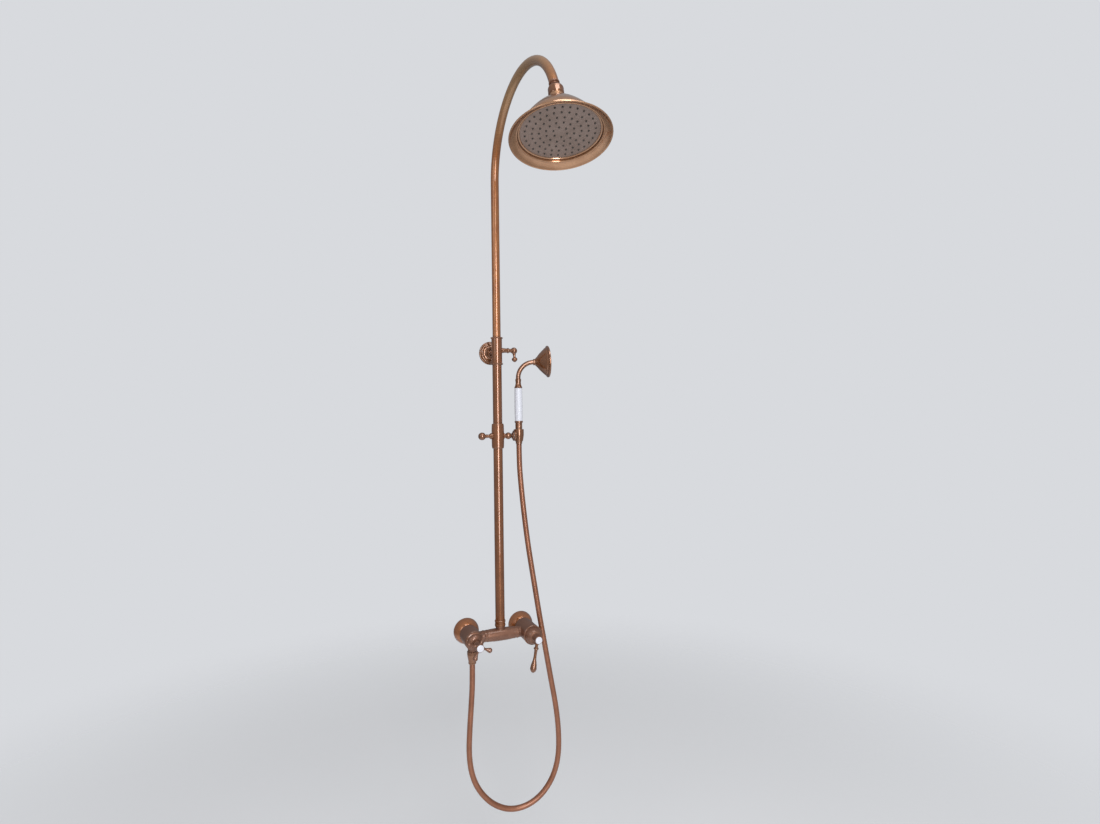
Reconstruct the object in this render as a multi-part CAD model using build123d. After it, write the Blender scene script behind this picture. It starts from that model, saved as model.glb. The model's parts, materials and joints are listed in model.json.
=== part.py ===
from build123d import *
import math
import os

# A wall-mounted shower column: a two-handled mixer, a telescopic riser with a gooseneck and a
# large bell rose, and a porcelain-gripped handset on a slider with its hose.
# Frame: origin midway between the two wall inlets on the wall face, +Z up, the room towards -Y.
# Sizes are in millimetres. "Out" is the distance from the wall face.

# Fits
slip = 0.1           # between pieces that are fixed together
running = 0.3        # between pieces that pass each other
shaft_fit = 0.06     # a shaft turning in its hole

# Layout
inlet_spacing = 150.0
standoff = 62.0             # riser axis in front of the wall
tube_end_height = 24.0      # foot of the lower tube
bracket_height = 733.0
bracket_length = 72.0
slider_drop = 221.0         # bracket to slider, as the slider stands at rest
slider_length = 64.0
handset_reach = 57.6        # handset axis beside the riser axis

# Pipe threads, as plain cylinders at their major radius
half_inch = 20.955 / 2
three_quarter_inch = 26.441 / 2

# Wall inlets
union_tail = 14.0
union_bore = 6.5
union_flats = 27.0
union_collar = 7.0
union_front = 20.0          # out, at the face that the washer seals on
washer_thickness = 2.0
nut_flats = 30.0
nut_back = 10.0
nut_front = 28.0
nut_lip = 3.6
escutcheon_radius = 33.5
escutcheon_rim = 2.5
escutcheon_wall = 1.3

# Valve body
housing_radius = 24.0
housing_back = 28.5
left_front = 88.0
right_front = 101.0
housing_edge = 1.0
spigot_flange = 12.4
spigot_radius = 10.5
barrel_radius = 16.4
barrel_end_radius = 14.0
barrel_bead_radius = 15.4
barrel_beads = (35.0, 45.0)
waterway = 3.8
inlet_bore = 6.0
riser_boss_radius = 12.9
riser_bore = 7.0
riser_spigot_radius = 10.2
riser_spigot_height = 37.0
hose_boss_radius = 10.0
hose_boss_foot = 29.0       # below the inlet axis

# Diverter, in the left housing
diverter_radius = 16.8
diverter_depth = 27.2       # of its room in the housing
diverter_neck = 12.0
bonnet_bead = 23.6
bonnet_bead_length = 5.0
bonnet_cone = 16.0
bonnet_collar = 8.0
bonnet_neck = 10.5
spindle_radius = 6.0
handle_length = 28.4
handle_hub = 10.0
handle_arm_reach = 28.0     # hub axis to the middle of an arm's ball
handle_ball = 6.2
handle_turn = -22.5         # as the cross stands at rest, in degrees
button_radius = 8.7

# Mixing valve, in the right housing
cartridge_radius = 17.3
cartridge_depth = 34.7      # of its room in the housing
cartridge_length = 23.7
cartridge_nut_length = 4.8
dome_flange = 24.8
dome_flange_length = 4.0
pivot_proud = 3.5           # lever's pivot in front of the housing
dome_radius = 22.0
dome_wall = 2.0
dome_opening = 25.0         # half angle of the hole that the stem tilts in, in degrees
skirt_wall = 1.6
skirt_angle = 41.0
hub_radius = 9.8
hub_proud = 46.5            # hub's front in front of the housing
lever_lean = 9.5            # as the lever hangs at rest, in degrees to the left
lever_length = 83.3
lever_bulb = 8.2

# Riser
lower_tube_radius = 12.0
lower_tube_bore = 10.8
upper_tube_radius = 10.5
upper_tube_bore = 9.3
riser_nut_radius = 13.8
riser_nut_top = 37.0
tube_top_drop = 9.0         # the lower tube ends this far below the bracket's middle
telescope_overlap = 124.0   # of the upper tube inside the lower one
bush_length = 12.0

# Gooseneck and rose
arm_turn = 3.0              # the arm's heading, in degrees to the right of square to the wall
arm_radius = 194.0
arm_spring = 1173.0         # height at which the straight tube starts to bend
arm_end_angle = 23.9        # what is left of the half circle at the arm's end, in degrees
ball_reach = 20.0           # tube end to the middle of the ball
ball_radius = 10.0
ball_stem = 4.5
rose_tilt = 13.6            # rose axis from the vertical, in degrees outwards
rose_turn = -3.0            # the way it leans, in degrees to the right of square to the wall
rose_radius = 106.5
rose_depth = 116.0          # ball centre to the rim's plane, along the rose axis
rose_wall = 1.6
rose_neck = 11.2
rose_shoulder = 14.0
rose_dome = 81.0
rose_dome_power = 1.22      # 2 is a quarter ellipse and 1 is a cone
rose_face_radius = 85.0
rose_recess = 5.0           # the spray plate's seat behind the inner lip of the rim
nozzle_radius = 1.9
nozzle_ring_step = 14.4
nozzle_first_ring = 14.8
nozzle_rings = 5
nozzle_proud = 1.8

# Bracket
bracket_sleeve_radius = 13.7
bracket_ring_radius = 16.4
bracket_ring_height = 4.5
rosette_radius = 31.0
plate_radius = 21.0
plate_thickness = 4.0
plate_hole_spacing = 28.0
plate_hole_radius = 2.6
bracket_rod = 9.0
bracket_stud = 4.0
lock_screw = 3.0
lock_ball_reach = 46.6
lock_ball = 8.7
lock_tail = 29.8
lock_splay = 4.5            # its tail hangs this far outwards, in degrees
lock_rise = 1.8             # lock above the bracket's middle

# Slider and cradle
liner_wall = 0.9
slider_end_radius = 15.2
slider_mid_radius = 16.2
knob_reach = 42.3
knob_radius = 9.9
link_back = 17.2
link_gap = 15.7             # handset axis to the link's face
link_disc = 8.6
cradle_below = 14.0         # the cradle's foot and top, from the slider's middle
cradle_above = 16.6
cradle_wall = 1.7
cradle_slot = 14.4
cradle_disc = 13.6

# Handset
hose_nut_radius = 11.3
hose_nut_foot_radius = 9.2
nut_foot_below = 21.5       # the hose nut's foot, from the slider's middle
nut_length = 38.5
collar_length = 21.0        # connector that shows between the nut and the grip
grip_length = 87.0
grip_end_radius = 9.8
grip_mid_radius = 10.4
handset_tube_radius = 4.9
neck_radius = 6.0
neck_bore = 4.8
neck_bend = 42.0
neck_rise = 66.6            # grip's top to the spray head's axis
ferrule_length = 24.5
spray_lift = 2.5            # the spray head faces this far up, in degrees
handset_turn = 10.5          # the spray head faces this far towards the room, in degrees
bell_radius = 41.8
bell_face = 81.6            # handset axis to the spray head's rim

# Hose
hose_radius = 7.0
hose_bore = 4.0
outlet_nut_top = 33.0
outlet_nut_foot = 64.5
outlet_nut_radius = 12.8
outlet_nut_foot_radius = 9.3

# Worked out from the sizes above
left_x = -inlet_spacing / 2
right_x = inlet_spacing / 2
diverter_back = left_front - diverter_depth
diverter_front = left_front + 2
bonnet_cone_end = left_front + bonnet_cone
bonnet_front = bonnet_cone_end + bonnet_collar
handle_back = bonnet_front + 2 * running
handle_front = handle_back + handle_length
handle_plane = handle_front - 6
cartridge_back = right_front - cartridge_depth
cartridge_front = cartridge_back + cartridge_length
pivot_out = right_front + pivot_proud
hub_front = right_front + hub_proud
lever_out = hub_front - 11
link_front = handset_reach - link_gap
slider_height = bracket_height - slider_drop
lower_tube_top = bracket_height - tube_top_drop
upper_tube_foot = lower_tube_top - telescope_overlap
cradle_foot = slider_height - cradle_below
cradle_top = slider_height + cradle_above
hose_nut_foot = slider_height - nut_foot_below
hose_nut_top = hose_nut_foot + nut_length
grip_foot = hose_nut_top + collar_length
grip_top = grip_foot + grip_length
neck_height = grip_top + neck_rise
neck_run = neck_bend * math.tan(math.radians(90 - spray_lift) / 2)
lock_height = bracket_height + lock_rise
rose_seat = rose_depth - 9 - rose_recess
spigot_back = union_front + washer_thickness
nut_corner = nut_flats / 2 / math.cos(math.radians(30))
bracket_foot = bracket_height - bracket_length / 2
bracket_head = bracket_height + bracket_length / 2
liner_bore = lower_tube_radius + running
liner_radius = liner_bore + liner_wall
slider_bore = liner_radius + running
slider_foot = slider_height - slider_length / 2
slider_head = slider_height + slider_length / 2
cradle_bore = hose_nut_radius + running
cradle_radius = cradle_bore + cradle_wall


def outline(start, *steps):
    """A closed face in the XZ plane. A point is (radius, height); a pair of points is an arc
    through the first to the second. The last point joins the first."""
    def spot(point):
        return Vector(point[0], 0, point[1])

    edges = []
    here = start
    for step in steps:
        if isinstance(step[0], tuple):
            through, end = step
            edges.append(ThreePointArc(spot(here), spot(through), spot(end)))
        else:
            end = step
            edges.append(Line(spot(here), spot(end)))
        here = end
    if math.dist(here, start) > 1e-6:
        edges.append(Line(spot(here), spot(start)))
    return make_face(edges)


def turned(*points):
    """A solid of revolution about +Z with the given outline."""
    return revolve(outline(*points), axis=Axis.Z)


def tube(radius, bore, low, high):
    """A plain ring about +Z between two heights; a bore of 0 makes it a bar."""
    if bore == 0:
        return turned((0, low), (radius, low), (radius, high), (0, high))
    return turned((bore, low), (radius, low), (radius, high), (bore, high))


def on_sphere(radius, angle, centre):
    """The (radius, height) point of a sphere at an angle from its top, in degrees."""
    turn = math.radians(angle)
    return (radius * math.sin(turn), centre + radius * math.cos(turn))


def out_from_wall(x, solid, z=0.0):
    """Places a solid built about +Z so that its height runs out from the wall."""
    return Plane(origin=(x, 0, z), x_dir=(1, 0, 0), z_dir=(0, -1, 0)).location * solid


def along_x(solid, z, side=1):
    """Places a solid built about +Z so that its height runs sideways from the riser axis."""
    return Plane(origin=(0, -standoff, z), x_dir=(0, 0, 1), z_dir=(side, 0, 0)).location * solid


def about_riser(solid, x=0.0, z=0.0):
    """Places a solid built about +Z on the riser axis, or beside it."""
    return Pos(x, -standoff, z) * solid


def hexagon(flats, low, high):
    """A hexagonal bar about +Z."""
    across_corners = flats / math.cos(math.radians(30))
    return Pos(0, 0, low) * extrude(RegularPolygon(across_corners / 2, 6), high - low)


def both_sides(make):
    """The same piece at the left and the right inlet, as two separate solids."""
    return Compound(children=[make(left_x), make(right_x)])


# Wall inlets

def inlet_union(x):
    tail = tube(half_inch, 0, -union_tail, 0)
    collar = hexagon(union_flats, 0, union_collar)
    front = tube(three_quarter_inch, 0, union_collar, union_front)
    bore = tube(union_bore, 0, -union_tail, union_front)
    return out_from_wall(x, tail + collar + front - bore)


def inlet_seal(x):
    ring = tube(three_quarter_inch - 1, union_bore, union_front, spigot_back)
    return out_from_wall(x, ring)


def union_nut(x):
    body = hexagon(nut_flats, nut_back, nut_front)
    lip_back = nut_front - nut_lip
    thread = tube(three_quarter_inch + slip, 0, nut_back, lip_back)
    mouth = tube(spigot_radius + slip, 0, lip_back, nut_front)
    return out_from_wall(x, body - thread - mouth)


def dome_arc(radius, rise, low, end_radius):
    """The quarter of a sphere-like dome from its rim up to a smaller radius: (through, end)."""
    start = math.atan2(low - rise, radius)
    end = math.acos(end_radius / math.hypot(radius, low - rise))
    size = math.hypot(radius, low - rise)
    middle = (start + end) / 2
    through = (size * math.cos(middle), rise + size * math.sin(middle))
    return through, (end_radius, rise + size * math.sin(end))


def escutcheon(x):
    opening = nut_corner + running
    inner = escutcheon_radius - escutcheon_wall
    outside = dome_arc(escutcheon_radius, 0, escutcheon_rim, opening + 0.6)
    inside = dome_arc(inner, 0, escutcheon_rim, opening)
    shell = turned((inner, 0), (escutcheon_radius, 0), (escutcheon_radius, escutcheon_rim),
                   outside, inside[1], (inside[0], (inner, escutcheon_rim)))
    return out_from_wall(x, shell)


# Valve body: two housings, the barrel between them and its bosses, one casting

def housing(x, front):
    edge = housing_edge
    shape = turned((0, spigot_back), (spigot_flange, spigot_back),
                   (spigot_flange, spigot_back + 2), (spigot_radius, spigot_back + 2),
                   (spigot_radius, housing_back), (housing_radius - edge, housing_back),
                   (housing_radius, housing_back + edge), (housing_radius, front - edge),
                   (housing_radius - edge, front), (0, front))
    return out_from_wall(x, shape)


def barrel():
    inner, outer = barrel_beads
    neck = barrel_end_radius + 0.5
    bead = barrel_bead_radius
    half = [(neck, inner), ((bead, inner + 1.5), (neck, inner + 3)), (neck, outer - 2),
            ((bead, outer), (neck, outer + 2)), (barrel_end_radius, outer + 3),
            (barrel_end_radius, right_x - 15), (0, right_x - 15), (0, 0), (barrel_radius, 0)]
    through = (barrel_radius - 0.35, inner / 2)
    right = turned((barrel_radius, 0), (through, (neck + 0.4, inner)), *half[:-1])
    side = along_x(right, 0)
    return side + mirror(side, about=Plane.YZ)


def riser_boss():
    neck = riser_boss_radius - 1.6
    shape = turned((0, 0), (neck, 0), (neck, 18), (riser_boss_radius, 20),
                   (riser_boss_radius, 23), (riser_spigot_radius, 23),
                   (riser_spigot_radius, riser_spigot_height), (0, riser_spigot_height))
    return about_riser(shape)


def waterways():
    """The bores that carry hot, cold and mixed water inside the casting."""
    left_inlet = out_from_wall(left_x, tube(inlet_bore, 0, spigot_back, diverter_back - 3.8))
    right_inlet = out_from_wall(right_x, tube(inlet_bore, 0, spigot_back, cartridge_back))
    hot_link = tube(waterway - 0.3, 0, cartridge_back - 15.3, cartridge_back)
    hot_link = out_from_wall(right_x - 12, hot_link)
    chamber = diverter_radius + slip
    diverter_room = out_from_wall(left_x, tube(chamber, 0, diverter_back - slip, left_front))
    mixing_room = tube(cartridge_radius + slip, 0, cartridge_back - slip, right_front)
    side = tube(waterway, 0, left_x, right_x - 12)
    hot = Pos(0, 7, -3) * along_x(side, 0)
    mixed = Pos(0, -7, -3) * along_x(tube(waterway, 0, left_x + 12, right_x - 12), 0)
    feed = Pos(0, 0, 7) * along_x(tube(waterway, 0, left_x + 12, 0), 0)
    up = about_riser(tube(riser_bore, 0, 6, riser_spigot_height))
    down = about_riser(tube(4.5, 0, -hose_boss_foot, -3), left_x)
    down_thread = about_riser(tube(half_inch - 2.5, 0, -hose_boss_foot, -hose_boss_foot + 10), left_x)
    return [left_inlet, right_inlet, hot_link, diverter_room, out_from_wall(right_x, mixing_room),
            hot, mixed, feed, up, down, down_thread]


def valve_body():
    boss = about_riser(tube(hose_boss_radius, 0, -hose_boss_foot, -10), left_x)
    body = housing(left_x, left_front) + housing(right_x, right_front) + barrel()
    body = body + riser_boss() + boss
    for bore in waterways():
        body = body - bore
    return body


# Diverter and cross handle

def diverter_cartridge():
    front = diverter_front
    shape = turned((0, diverter_back), (diverter_radius, diverter_back),
                   (diverter_radius, front - 9), (diverter_neck, front - 8),
                   (diverter_neck, front), (0, front))
    return out_from_wall(left_x, shape - tube(spindle_radius + shaft_fit, 0, front - 12, front))


def diverter_bonnet():
    bead_end = left_front + bonnet_bead_length
    bead_middle = left_front + bonnet_bead_length / 2
    bore = spindle_radius + shaft_fit
    room = diverter_neck + 0.6
    foot = diverter_front - 7
    shape = turned((room, foot), (diverter_radius - slip, foot), (diverter_radius - slip, left_front),
                   (bonnet_bead - 1, left_front),
                   ((bonnet_bead, bead_middle), (bonnet_bead - 1, bead_end)),
                   (bonnet_bead - 3.6, bead_end + 0.6),
                   ((bonnet_bead - 5, (bead_end + bonnet_cone_end + 1) / 2),
                    (bonnet_neck + 1.5, bonnet_cone_end)),
                   (bonnet_neck, bonnet_cone_end + 1), (bonnet_neck, bonnet_front),
                   (bore, bonnet_front), (bore, diverter_front + 4), (room, diverter_front + 2))
    return out_from_wall(left_x, shape)


def at_handle(solid):
    """Turns a piece built on the left inlet's axis to the way the cross stands at rest."""
    return Pos(left_x, 0, 0) * Rot(0, -handle_turn, 0) * solid


def diverter_spindle():
    shape = tube(spindle_radius, 0, diverter_front - 11.5, handle_back)
    square = Pos(0, 0, handle_back) * extrude(Rectangle(8, 8), 11.4)
    return at_handle(out_from_wall(0, shape + square - tube(2.5, 0, handle_back + 0.4, handle_back + 12.4)))


def handle_arm():
    """One arm of the cross, built about +Z from the hub's axis out."""
    reach = handle_arm_reach
    ball = handle_ball
    return turned((0, 6), (4.4, 6), (4.2, 10), ((3.0, 14), (3.1, 18)),
                  ((4.6, reach - 5.5), (ball, reach)),
                  (on_sphere(ball, 45, reach), (0, reach + ball)))


def cross_handle():
    hub = turned((0, handle_back), (8.6, handle_back), (9.4, handle_back + 2),
                 ((7.4, handle_back + 7.4), (handle_hub - 0.4, handle_plane - 6)),
                 (handle_hub, handle_plane - 5),
                 (handle_hub, handle_front - 0.6), (handle_hub - 0.6, handle_front),
                 (0, handle_front))
    hub = out_from_wall(0, hub)
    for quarter in range(4):
        arm = Pos(0, -handle_plane, 0) * handle_arm()
        hub = hub + Rot(0, 90 * quarter, 0) * arm
    socket = Pos(0, 0, handle_back) * extrude(Rectangle(8 + 2 * slip, 8 + 2 * slip), 11.6)
    screw_hole = tube(2.8, 0, handle_back + 7.4, handle_front)
    ring_hole = tube(6.5, 0, handle_front - 10, handle_front + 4)
    hub = hub - out_from_wall(0, socket + screw_hole + ring_hole)
    return at_handle(hub)


def handle_screw():
    seat = handle_front - 10
    shape = tube(4.4, 0, seat, seat + 3.5) + tube(2.4, 0, handle_back + 2.4, seat)
    return out_from_wall(left_x, shape - hexagon(3, seat + 1.5, seat + 3.5))


def button_ring(x, back):
    """The brass ring that holds a porcelain button on the front of a handle."""
    rim = turned((0, back), (handle_hub, back), (handle_hub, back + 2.4),
                 (handle_hub - 1, back + 3.6), (button_radius + slip, back + 3.6),
                 (button_radius + slip, back + 1.6), (0, back + 1.6))
    return out_from_wall(x, rim + tube(6.4, 0, back - 4, back))


def button(x, back):
    """A porcelain button with a slightly domed face."""
    dome = 4.5 * button_radius
    centre = back + 5.4 - dome
    edge = math.degrees(math.asin((button_radius - 0.8) / dome))
    shape = turned((0, back + 1.6), (button_radius, back + 1.6), (button_radius, back + 3.8),
                   on_sphere(dome, edge, centre),
                   (on_sphere(dome, edge / 2, centre), on_sphere(dome, 0, centre)))
    return out_from_wall(x, shape)


# Mixing valve and lever

def mixing_cartridge():
    shape = turned((0, cartridge_back), (cartridge_radius, cartridge_back),
                   (cartridge_radius, cartridge_front), (0, cartridge_front))
    return out_from_wall(right_x, shape - tube(8 + shaft_fit, 0, cartridge_front - 6,
                                             cartridge_front))


def cartridge_nut():
    front = cartridge_front + cartridge_nut_length
    ring = tube(cartridge_radius, 11, cartridge_front, front)
    for quarter in range(4):
        notch = Rot(0, 0, 90 * quarter) * Pos(13.5, 0, front - 1) * Box(4, 4, 2)
        ring = ring - notch
    return out_from_wall(right_x, ring)


def dome_cap():
    inner = dome_radius - dome_wall
    flange_front = right_front + dome_flange_length
    spigot = cartridge_radius - slip
    start = math.degrees(math.acos((flange_front - pivot_out) / dome_radius))
    edge_out = on_sphere(dome_radius, dome_opening, pivot_out)
    edge_in = on_sphere(inner, dome_opening, pivot_out)
    foot = cartridge_front + 5.4
    shape = turned((14, foot), (spigot, foot), (spigot, right_front),
                   (dome_flange - 0.8, right_front), (dome_flange, right_front + 1.4),
                   (dome_flange, flange_front - 1), (dome_flange - 1, flange_front),
                   on_sphere(dome_radius, start, pivot_out),
                   (on_sphere(dome_radius, (start + dome_opening) / 2, pivot_out), edge_out),
                   edge_in, (on_sphere(inner, (90 + dome_opening) / 2, pivot_out),
                             (inner, pivot_out)), (inner, right_front + 1), (14, right_front + 1))
    return out_from_wall(right_x, shape)


def at_lever(solid):
    """Turns a piece of the lever, built hanging straight down, to the way it hangs at rest."""
    axis = Pos(right_x, 0, 0)
    return axis * Rot(0, lever_lean, 0) * axis.inverse() * solid


def mixing_spindle():
    foot = cartridge_front + 6
    fork = Pos(0, 0, foot) * extrude(Rectangle(10, 12), pivot_out + 5 - foot)
    slot = Pos(0, 0, pivot_out - 5.5) * extrude(Rectangle(4 + 2 * slip, 20), 20)
    shape = tube(8, 0, cartridge_front - 5.7, foot) + fork - slot
    hole = Pos(0, 0, pivot_out) * Rot(0, 90, 0) * tube(1.5, 0, -8, 8)
    return at_lever(out_from_wall(right_x, shape - hole))


def spindle_pin():
    pin = Pos(0, 0, pivot_out) * Rot(0, 90, 0) * tube(1.5, 0, -5, 5)
    return at_lever(out_from_wall(right_x, pin))


def lever_stem():
    tongue = Pos(0, 0, pivot_out + 3.5) * Box(4, 6, 7)
    eye = Pos(0, 0, pivot_out) * Rot(0, 90, 0) * tube(3.6, 0, -2, 2)
    stem = tube(3, 0, pivot_out + 6.9, lever_out + 3)
    hole = Pos(0, 0, pivot_out) * Rot(0, 90, 0) * tube(1.5 + shaft_fit, 0, -8, 8)
    return at_lever(out_from_wall(right_x, tongue + eye + stem - hole))


def lever_hub():
    inner = dome_radius + running
    outer = inner + skirt_wall
    tip = math.degrees(math.asin(hub_radius / outer)) + 4
    bore = 3 + slip
    near = math.degrees(math.asin(bore / inner))
    front = hub_front - 3.6
    shell = turned(on_sphere(inner, near, pivot_out),
                   (on_sphere(inner, (near + skirt_angle) / 2, pivot_out),
                    on_sphere(inner, skirt_angle, pivot_out)),
                   on_sphere(outer, skirt_angle, pivot_out),
                   (on_sphere(outer, (tip + skirt_angle) / 2, pivot_out),
                    on_sphere(outer, tip, pivot_out)),
                   (hub_radius, hub_front - 16), (hub_radius, front), (0, front), (0, lever_out + 3.2),
                   (bore, lever_out + 3.2))
    hub = out_from_wall(right_x, shell)
    boss = Pos(right_x, -lever_out, 0) * Rot(180, 0, 0) * tube(5.4, 0, 4, 12)
    thread = Pos(right_x, -lever_out, 0) * Rot(180, 0, 0) * tube(2.5, 0, 5, 13)
    return at_lever(hub + boss - thread - out_from_wall(right_x, tube(6.5, 0, front - 4.2, front)))


def lever_arm():
    shape = turned((0, 6), (2.4, 6), (2.4, 12), (4.8, 12), (4.8, 13.5), (4.1, 14.5), (4.1, 20.6),
                   (6.2, 22), ((6.7, 23.2), (6.2, 24.4)), (4.5, 26),
                   ((3.7, 38), (4.5, 52)), ((6.6, 61), (lever_bulb, 71)),
                   ((6.3, lever_length - 4.2), (1.2, lever_length)), (0, lever_length))
    hanging = Pos(right_x, -lever_out, 0) * Rot(180, 0, 0) * shape
    return at_lever(hanging)


# Riser

def riser_nut():
    bore = lower_tube_radius + slip
    low = tube_end_height - 0.8
    face = riser_nut_radius - 0.9
    shape = turned((bore, low), (riser_nut_radius, low), (riser_nut_radius, low + 3),
                   (face, low + 3.8), (face, riser_nut_top - 5.4),
                   (riser_nut_radius, riser_nut_top - 4.6), (riser_nut_radius, riser_nut_top - 1),
                   (face, riser_nut_top), (bore, riser_nut_top))
    return about_riser(shape)


def lower_riser():
    return about_riser(tube(lower_tube_radius, lower_tube_bore, tube_end_height, lower_tube_top))


def telescope_bush():
    foot = upper_tube_foot - bush_length
    big = lower_tube_bore - shaft_fit
    shape = turned((7, foot), (big, foot), (big, foot + 2), (big - 1.2, foot + 2.6),
                   (big - 1.2, upper_tube_foot - 2.6), (big, upper_tube_foot - 2),
                   (big, upper_tube_foot), (upper_tube_bore - shaft_fit, upper_tube_foot),
                   (upper_tube_bore - shaft_fit, upper_tube_foot + 9), (7, upper_tube_foot + 9))
    return about_riser(shape)


def arm_heading():
    turn = math.radians(arm_turn)
    return Vector(math.sin(turn), -math.cos(turn), 0)


def arm_point(out, height):
    """A point of the plane that the gooseneck bends in."""
    return Vector(0, -standoff, height) + arm_heading() * out


def arm_end():
    turn = math.radians(arm_end_angle)
    return arm_point(arm_radius * (1 + math.cos(turn)), arm_spring + arm_radius * math.sin(turn))


def arm_direction():
    """The way the arm's end points."""
    turn = math.radians(arm_end_angle)
    return arm_heading() * math.sin(turn) + Vector(0, 0, -math.cos(turn))


def upper_riser():
    halfway = math.radians((180 + arm_end_angle) / 2)
    through = arm_point(arm_radius * (1 + math.cos(halfway)),
                        arm_spring + arm_radius * math.sin(halfway))
    bend = ThreePointArc(arm_point(0, arm_spring), through, arm_end())
    ring = Plane(origin=arm_point(0, arm_spring), x_dir=(1, 0, 0), z_dir=(0, 0, 1)).location * (
        Circle(upper_tube_radius) - Circle(upper_tube_bore))
    straight = about_riser(tube(upper_tube_radius, upper_tube_bore, upper_tube_foot, arm_spring))
    return straight + sweep(ring, path=bend)


# Wall bracket

def bracket_sleeve():
    step = bracket_ring_height
    ring = bracket_ring_radius
    body = bracket_sleeve_radius
    small = upper_tube_radius + running
    large = lower_tube_radius + slip
    shape = turned((large, bracket_foot), (body + 0.6, bracket_foot),
                   (ring - 0.8, bracket_foot + 1.4),
                   ((ring, bracket_foot + step / 2), (ring - 0.8, bracket_foot + step - 1.4)),
                   (body, bracket_foot + step), (body, bracket_head - step),
                   (ring - 0.8, bracket_head - step + 1.4),
                   ((ring, bracket_head - step / 2), (ring - 0.8, bracket_head - 1.4)),
                   (body - 0.8, bracket_head), (small, bracket_head), (small, lower_tube_top),
                   (large, lower_tube_top))
    sleeve = about_riser(shape)
    back = out_from_wall(0, tube(bracket_rod, 0, standoff - 23, standoff - 12), bracket_height)
    side = along_x(tube(6.4, 0, 12, 15.2), lock_height)
    stud = out_from_wall(0, tube(bracket_stud + slip, 0, standoff - 24, standoff - 13.4),
                         bracket_height)
    screw = along_x(tube(lock_screw, 0, 9, 16), lock_height)
    bosses = back + side - about_riser(tube(body - 0.5, 0, bracket_foot, bracket_head))
    return sleeve + bosses - stud - screw


def bracket_arm():
    shape = tube(bracket_rod, 0, 13, standoff - 23)
    studs = tube(bracket_stud, 0, 5, standoff - 14)
    return out_from_wall(0, shape + studs, bracket_height)


def bracket_rosette():
    bore = bracket_rod + slip
    edge = rosette_radius
    room = plate_radius + 1.0
    shape = turned((room, 0), (edge, 0), (edge, 2.6), ((edge - 0.4, 4.4), (edge - 2.4, 4.8)),
                   (edge - 3.4, 5.2), (edge - 3.6, 7.2), ((edge - 5, 9.2), (edge - 7.4, 9.6)),
                   (edge - 8.6, 10.2), (edge - 8.8, 12.4), ((15.5, 15), (13.6, 20)),
                   (13.2, 22.5), (12.2, 23.5), (bore, 23.5), (bore, 14), (room, 9))
    return out_from_wall(0, shape, bracket_height)


def bracket_plate():
    plate = tube(plate_radius, 0, 0, plate_thickness) + tube(8, 0, plate_thickness, 13)
    plate = plate - tube(bracket_stud + slip, 0, plate_thickness, 13)
    for side in (-1, 1):
        hole = tube(plate_hole_radius, 0, 0, plate_thickness)
        plate = plate - Pos(side * plate_hole_spacing / 2, 0, 0) * hole
    return out_from_wall(0, plate, bracket_height)


def lock_lever():
    ball = lock_ball
    reach = lock_ball_reach
    tip = upper_tube_radius + running + 0.2
    shaft = lock_screw - shaft_fit
    handle = turned((0, tip), (shaft, tip), (shaft, 15.5),
                    (6.4, 15.5), ((6.7, 17.2), (6.0, 18.8)), (5.6, 28), (6.6, 28.8),
                    ((7.0, 30.2), (6.6, 31.6)), (5.0, 32.4), on_sphere(ball, 146, reach),
                    (on_sphere(ball, 70, reach), (0, reach + ball)))
    tail = turned((0, 0), (4.6, 6.5), (3.7, 11), (3.1, 16.6), (5.0, 18.2), ((7.4, 22.4), (5.8, 26)),
                  ((3.8, 28.2), (1.0, lock_tail)), (0, lock_tail))
    hanging = Pos(reach, -standoff, lock_height) * Rot(180, lock_splay, 0) * tail
    return along_x(handle, lock_height) + hanging


# Slider and cradle

def slider_liner():
    return about_riser(tube(liner_radius, liner_bore, slider_foot + 2.3, slider_head - 2.3))


def slider_sleeve():
    lip = liner_bore + 0.1
    end = slider_end_radius
    mid = slider_mid_radius
    shape = turned((lip, slider_foot), (end - 0.8, slider_foot), (end, slider_foot + 1),
                   (end, slider_foot + 3), (end + 0.5, slider_foot + 4),
                   ((mid, slider_height), (end + 0.5, slider_head - 4)),
                   (end, slider_head - 3), (end, slider_head - 1), (end - 0.8, slider_head),
                   (lip, slider_head), (lip, slider_head - 2), (slider_bore, slider_head - 2),
                   (slider_bore, slider_foot + 2), (lip, slider_foot + 2))
    sleeve = about_riser(shape)
    bosses = along_x(tube(7.6, 0, 12, 17.2), slider_height)
    bosses = bosses + along_x(tube(7.6, 0, 12, 17.2), slider_height, -1)
    bosses = bosses - about_riser(tube(mid - 0.6, 0, slider_foot, slider_head))
    right_hole = along_x(tube(4 + slip, 0, 10, 18), slider_height)
    left_hole = along_x(tube(lock_screw, 0, 10, 18), slider_height, -1)
    return sleeve + bosses - right_hole - left_hole


def slider_knob():
    reach = knob_reach
    ball = knob_radius
    shaft = lock_screw - shaft_fit
    start = on_sphere(ball, 158, reach)
    tip = slider_bore + 0.1
    shape = turned((0, tip), (shaft, tip), (shaft, 17.5), (8.0, 17.5), (8.0, 19),
                   ((5.0, 23), (3.6, 27)), (4.8, 28), ((5.2, 29), (4.8, 30)), start,
                   (on_sphere(ball, 90, reach), on_sphere(ball, 24, reach)), (0, reach + ball - 0.9))
    return along_x(shape, slider_height, -1)


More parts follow.
